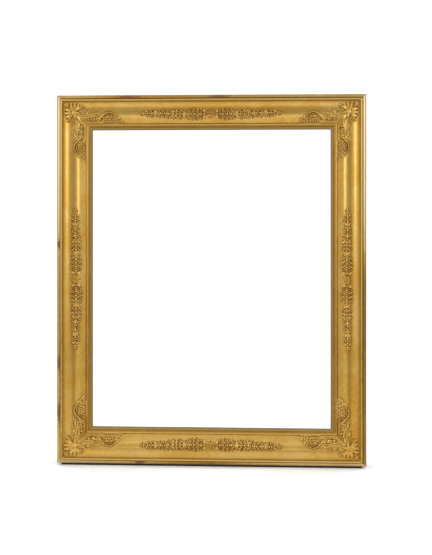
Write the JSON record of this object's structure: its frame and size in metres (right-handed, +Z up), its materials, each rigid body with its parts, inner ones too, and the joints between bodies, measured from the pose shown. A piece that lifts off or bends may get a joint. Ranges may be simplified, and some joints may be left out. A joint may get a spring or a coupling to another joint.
{
  "type": "ornate gilded picture frame",
  "caption": "Gilded wooden picture frame with a deep hollow moulding, cast leaf ornaments at the corners and side middles, a rabbet behind and a ring to hang it by.",
  "frame": {"origin": "bottom centre of the whole: on the standing edge, midway across, midway through the depth with the eye", "axes": "+X to the right seen from the front, +Z up, the front faces -Y and the wall side faces +Y"},
  "size_m": [0.824, 0.0772, 0.984],
  "materials": {
    "gilt_wood": "aged gold leaf, satin",
    "gilt_composition": "aged gold leaf, satin",
    "bare_wood": "matte, aged",
    "key_wood": "matte",
    "forged_iron": "matte, oxidised"
  },
  "bodies": {
    "frame": {"rail_top": "gilt_wood", "rail_bottom": "gilt_wood", "stile_left": "gilt_wood", "stile_right": "gilt_wood", "back_rail_top": "bare_wood", "back_rail_bottom": "bare_wood", "back_stile_left": "bare_wood", "back_stile_right": "bare_wood", "mitre_key_top_left": "key_wood", "mitre_key_top_right": "key_wood", "mitre_key_bottom_left": "key_wood", "mitre_key_bottom_right": "key_wood", "palmette_top_left": "gilt_composition", "palmette_top_right": "gilt_composition", "palmette_bottom_left": "gilt_composition", "palmette_bottom_right": "gilt_composition", "corner_spray_rail_top_left": "gilt_composition", "corner_spray_rail_top_right": "gilt_composition", "corner_spray_rail_bottom_left": "gilt_composition", "corner_spray_rail_bottom_right": "gilt_composition", "corner_spray_stile_top_left": "gilt_composition", "corner_spray_stile_top_right": "gilt_composition", "corner_spray_stile_bottom_left": "gilt_composition", "corner_spray_stile_bottom_right": "gilt_composition", "middle_spray_top_left": "gilt_composition", "middle_spray_top_right": "gilt_composition", "middle_spray_bottom_left": "gilt_composition", "middle_spray_bottom_right": "gilt_composition", "middle_spray_stile_left_upper": "gilt_composition", "middle_spray_stile_left_lower": "gilt_composition", "middle_spray_stile_right_upper": "gilt_composition", "middle_spray_stile_right_lower": "gilt_composition", "flower_top": "gilt_composition", "flower_bottom": "gilt_composition", "flower_left": "gilt_composition", "flower_right": "gilt_composition", "lap_nails": "forged_iron", "screw_eye": "forged_iron"},
    "ring": {"hanging_ring": "forged_iron"}
  },
  "joints": [
    {"name": "ring_swing", "type": "hinge", "parent": "frame", "child": "ring", "pos_m": [0, 0.03182, 0.9415], "axis": [1, 0, 0], "range_deg": [-10, 190]}
  ]
}
